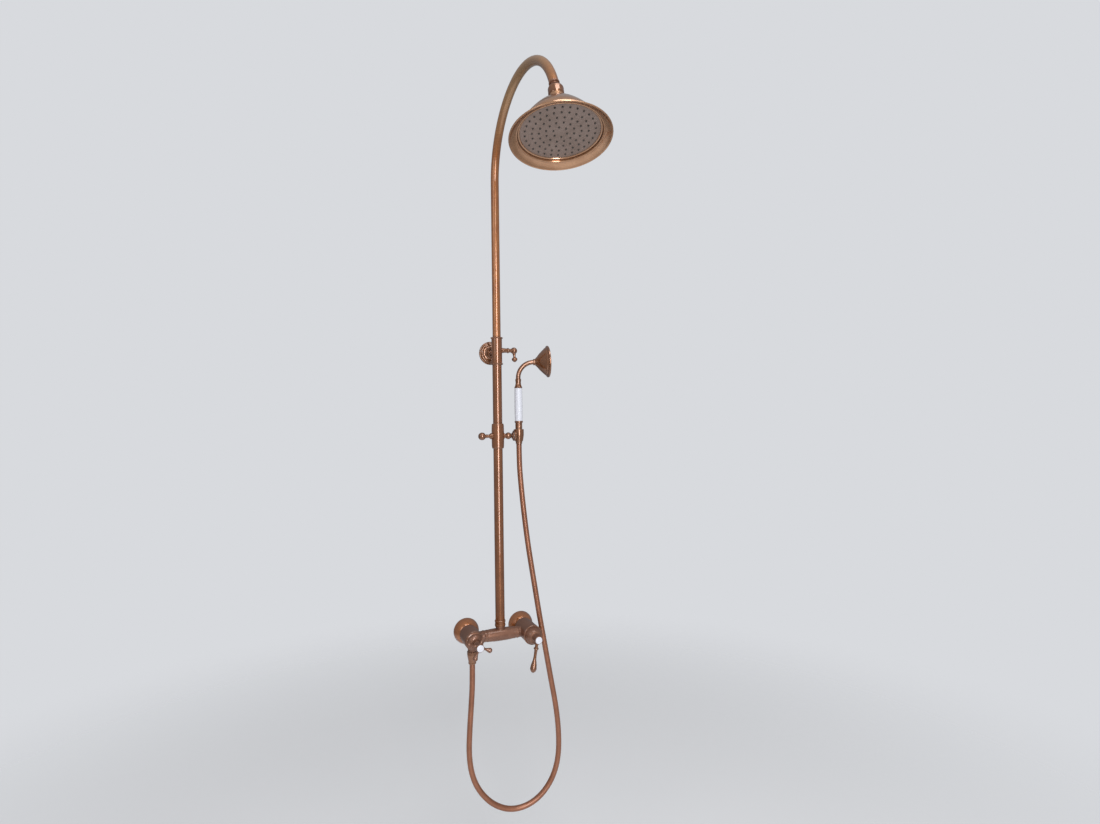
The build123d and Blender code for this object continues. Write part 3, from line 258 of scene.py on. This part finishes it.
# Silicone rubber, moulded: dark and matt
dark_rubber = grained("moulded_rubber", "#1E1A18", "#2C2623", 0.6)
# Silicone rubber, chalky with scale: the nozzles, dark grey
nozzle_rubber = grained("chalky_rubber", "#3A3633", "#5A5653", 0.6, grain=2 * MM)
# Nylon, moulded: milky and half matt
nylon = grained("moulded_nylon", "#D2CFC6", "#DEDBD3", 0.45)
# Brass, machined: yellow and clean where nothing shows it
brass = grained("machined_brass", "#B58E4B", "#C9A663", 0.3, metallic=1.0)
# Stainless steel, machined: a plain grey
steel = grained("machined_steel", "#8D8E90", "#A5A6A8", 0.3, metallic=1.0)

FINISHES = {
    "brushed_copper": body_copper,
    "bare_brass": brass,
    "copper_hose": hose_copper,
    "white_porcelain": white_porcelain,
    "black_rubber": dark_rubber,
    "grey_silicone": nozzle_rubber,
    "white_nylon": nylon,
    "steel": steel,
}
OWN_FINISHES = {
    tube_copper: ("lower_riser", "bracket_sleeve", "slider_sleeve", "riser_nut"),
    lit_arm_copper: ("upper_riser",),
    fitting_copper: ("handset_neck", "handset_bell", "lock_lever", "cradle", "hose_upper_nut",
                     "handset_connector", "handset_ferrule", "cradle_link", "slider_knob",
                     "head_nut", "lever_arm", "hose_lower_nut", "bracket_rosette"),
    plate_copper: ("escutcheons",),
    rose_copper: ("rose_bell", "rose_ring"),
    spray_copper: ("rose_face", "handset_face"),
}


def dress_frame():
    """Every CAD node gets its finish, and smooth shading up to its real edges."""
    slots = {row["node"]: row["material_slot"] for row in frame["record"]["subparts"]}
    finishes = {node: FINISHES[slot] for node, slot in slots.items()}
    for material, nodes in OWN_FINISHES.items():
        for node in nodes:
            finishes[node] = material
    for name, piece in frame["nodes"].items():
        piece.data.materials.clear()
        piece.data.materials.append(finishes[name])
        piece.data.shade_smooth()
        piece.data.set_sharp_from_angle(angle=math.radians(SMOOTH_UP_TO))


# Hose

def hose_centreline():
    """Points along the hose's smooth line, read from a spline through its route."""
    curve = bpy.data.curves.new("hose_line", "CURVE")
    curve.dimensions = "3D"
    curve.resolution_u = 40
    spline = curve.splines.new("NURBS")
    spline.points.add(len(HOSE_ROUTE_MM) - 1)
    for point, place in zip(spline.points, HOSE_ROUTE_MM):
        point.co = (*[c * MM for c in place], 1.0)
    spline.order_u = 3
    spline.use_endpoint_u = True
    line = bpy.data.objects.new("hose_line", curve)
    mesh = bpy.data.meshes.new_from_object(line)
    points = [vertex.co.copy() for vertex in mesh.vertices]
    bpy.data.meshes.remove(mesh)
    bpy.data.objects.remove(line)
    bpy.data.curves.remove(curve)
    return points


def evenly(points, step):
    """The same line with its points a fixed step apart."""
    lengths = [0.0]
    for a, b in zip(points, points[1:]):
        lengths.append(lengths[-1] + (b - a).length)
    count = round(lengths[-1] / step)
    even = []
    at = 0
    for i in range(count + 1):
        goal = lengths[-1] * i / count
        while at < len(points) - 2 and lengths[at + 1] < goal:
            at += 1
        share = (goal - lengths[at]) / (lengths[at + 1] - lengths[at])
        even.append(points[at].lerp(points[at + 1], min(share, 1.0)))
    return even


def hose_rings(points):
    """One ring of places round each point. A shallow groove winds round them as a helix."""
    side = Vector((1, 0, 0))
    rings = []
    for i, centre in enumerate(points):
        ahead = points[min(i + 1, len(points) - 1)]
        behind = points[max(i - 1, 0)]
        along = (ahead - behind).normalized()
        side = (side - along * side.dot(along)).normalized()
        across = along.cross(side)
        ring = []
        for k in range(HOSE_SIDES):
            turn = k / HOSE_SIDES
            phase = (i / HOSE_RINGS_PER_RIB + turn) % 1.0
            groove = max(0.0, math.cos(2 * math.pi * phase)) ** 3
            radius = HOSE_RADIUS - HOSE_RIB_DEPTH * groove
            angle = 2 * math.pi * turn
            ring.append(centre + (side * math.cos(angle) + across * math.sin(angle)) * radius)
        rings.append(ring)
    return rings


def tube_mesh(name, rings):
    """An open tube through the rings, in the hose's own finish."""
    vertices = [place for ring in rings for place in ring]
    faces = []
    for i in range(len(rings) - 1):
        for k in range(HOSE_SIDES):
            here = i * HOSE_SIDES + k
            beside = i * HOSE_SIDES + (k + 1) % HOSE_SIDES
            faces.append((here, here + HOSE_SIDES, beside + HOSE_SIDES, beside))
    mesh = bpy.data.meshes.new(name)
    mesh.from_pydata(vertices, [], faces)
    mesh.shade_smooth()
    piece = bpy.data.objects.new(name, mesh)
    bpy.context.scene.collection.objects.link(piece)
    piece.data.materials.append(hose_copper)
    return piece


def hose_stretch(name, points, rings):
    """One stretch of the hose, drawn as a tube through its rings in place of the CAD hose; gives
    back its length.
    """
    piece = tube_mesh(name, rings)
    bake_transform(piece)
    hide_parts("hose")
    length = sum((b - a).length for a, b in zip(points, points[1:]))
    return length


def make_hose():
    """The hose in five stretches, from the outlet under the mixer round to the handset."""
    step = HOSE_RIB_PITCH / HOSE_RINGS_PER_RIB
    points = evenly(hose_centreline(), step)
    rings = hose_rings(points)
    heights = [point.z for point in points]
    bottom = heights.index(min(heights))
    cuts = [0, bottom]
    for height in HOSE_CUTS:
        cuts.append(next(i for i in range(bottom, len(points)) if heights[i] >= height))
    cuts.append(len(points) - 1)
    low = heights[bottom]
    top = HOSE_ROUTE_MM[0][2] * MM
    lift = HOSE_CUTS[0] - low
    stretches = (
        ("hose_left_leg", ("root", "slider"), (0, 0, top), (0, 0, 2 * low - top)),
        ("hose_right_leg", ("root", "slider"), (0, 0, low - lift), (0, 0, low + lift)),
        ("hose_middle", ("slider", "slider_body"), (0, 0, HOSE_CUTS[0]), (0, 0, HOSE_CUTS[1])),
        ("hose_upper", ("slider_body", "cradle"), (0, 0, HOSE_CUTS[1]), (0, 0, HOSE_CUTS[2])),
        ("hose_end", ("cradle", "hose_end"), (0, 0, HOSE_CUTS[2]), (0, 0, heights[-1])),
    )
    total = 0.0
    for (name, bodies, start, end), first, last in zip(stretches, cuts, cuts[1:]):
        part = slice(first, last + 1)
        total += hose_stretch(name, points[part], rings[part])
    print("hose length", round(total, 4))


# Floor, light and camera

def make_floor():
    """A round pale floor that fades out into the pale background all round."""
    material, tree, shader = blank_material("pale_paint")
    shader.inputs["Base Color"].default_value = linear(FLOOR_PAINT)
    shader.inputs["Roughness"].default_value = 0.9
    shader.inputs["Emission Color"].default_value = linear("#FFFFFF")
    shader.inputs["Emission Strength"].default_value = FLOOR_GLOW
    middle = add(tree, "ShaderNodeTexCoord").outputs["Object"]
    far = add(tree, "ShaderNodeVectorMath", {0: middle}, operation="LENGTH")
    fade = add(tree, "ShaderNodeMapRange", {"Value": far.outputs["Value"], "From Min": FLOOR_SOLID,
                                            "From Max": FLOOR_RADIUS},
               interpolation_type="SMOOTHSTEP")
    clear = add(tree, "ShaderNodeBsdfTransparent")
    mixed = add(tree, "ShaderNodeMixShader", {0: out(fade), 1: shader.outputs["BSDF"],
                                              2: out(clear)})
    tree.links.new(out(mixed), tree.nodes["Material Output"].inputs["Surface"])
    mesh = bpy.data.meshes.new("studio_floor")
    circle = [(FLOOR_RADIUS * math.cos(math.radians(a)), FLOOR_RADIUS * math.sin(math.radians(a)),
               0) for a in range(0, 360, 4)]
    mesh.from_pydata(circle, [], [range(len(circle))])
    floor = bpy.data.objects.new("studio_floor", mesh)
    floor.location = (0, 0, FLOOR_HEIGHT)
    floor.data.materials.append(material)
    bpy.context.scene.collection.objects.link(floor)


def make_softbox(name, place, target, size, power):
    """An area lamp that faces its target."""
    lamp = bpy.data.lights.new(name, "AREA")
    lamp.shape = "RECTANGLE"
    lamp.size, lamp.size_y = size
    lamp.energy = power
    box = bpy.data.objects.new(name, lamp)
    box.location = place
    box.rotation_euler = (Vector(target) - Vector(place)).to_track_quat("-Z", "Y").to_euler()
    bpy.context.scene.collection.objects.link(box)


def make_light():
    """A pale room, a little brighter above and in front, with a tall window in front, a low
    sheet of light from the left and a pale ceiling."""
    world = bpy.data.worlds.new("studio_light")
    bpy.context.scene.world = world
    world.use_nodes = True
    tree = world.node_tree
    room = tree.nodes["Background"]
    room.inputs["Color"].default_value = linear(ROOM_COLOUR)
    facing = add(tree, "ShaderNodeTexCoord").outputs["Generated"]
    gain = add(tree, "ShaderNodeVectorMath", {0: facing, 1: (0, -ROOM_GAIN_FRONT, ROOM_GAIN_UP)},
               operation="DOT_PRODUCT")
    level = add(tree, "ShaderNodeMath", {0: gain.outputs["Value"], 1: ROOM_LIGHT}, operation="ADD")
    tree.links.new(out(level), room.inputs["Strength"])
    backdrop = add(tree, "ShaderNodeBackground", {"Color": linear(BACKGROUND), "Strength": 1.0})
    ray = add(tree, "ShaderNodeLightPath")
    seen = add(tree, "ShaderNodeMixShader", {0: ray.outputs["Is Camera Ray"],
                                             1: room.outputs["Background"], 2: out(backdrop)})
    tree.links.new(out(seen), tree.nodes["World Output"].inputs["Surface"])
    for lamp in LAMPS:
        make_softbox(*lamp)


def make_camera():
    """The camera at the photograph's viewing angle."""
    yaw, pitch, roll = (math.radians(a) for a in (CAMERA_YAW, CAMERA_PITCH, CAMERA_ROLL))
    level = Vector((math.sin(yaw), math.cos(yaw), 0))
    right = Vector((math.cos(yaw), -math.sin(yaw), 0))
    sky = Vector((0, 0, 1))
    ahead = level * math.cos(pitch) + sky * math.sin(pitch)
    up = sky * math.cos(pitch) - level * math.sin(pitch)
    right, up = (right * math.cos(roll) + up * math.sin(roll),
                 up * math.cos(roll) - right * math.sin(roll))
    lens = bpy.data.cameras.new("photo_camera")
    lens.lens = CAMERA_LENS
    lens.sensor_width = CAMERA_SENSOR
    camera = bpy.data.objects.new("photo_camera", lens)
    turn = Matrix((right, up, -ahead)).transposed().to_4x4()
    camera.matrix_world = Matrix.Translation(CAMERA_PLACE) @ turn
    bpy.context.scene.collection.objects.link(camera)
    bpy.context.scene.camera = camera


make_camera()
make_hose()
dress_frame()
make_floor()
make_light()
bpy.context.scene.view_settings.view_transform = "Standard"

bpy.context.view_layer.update()
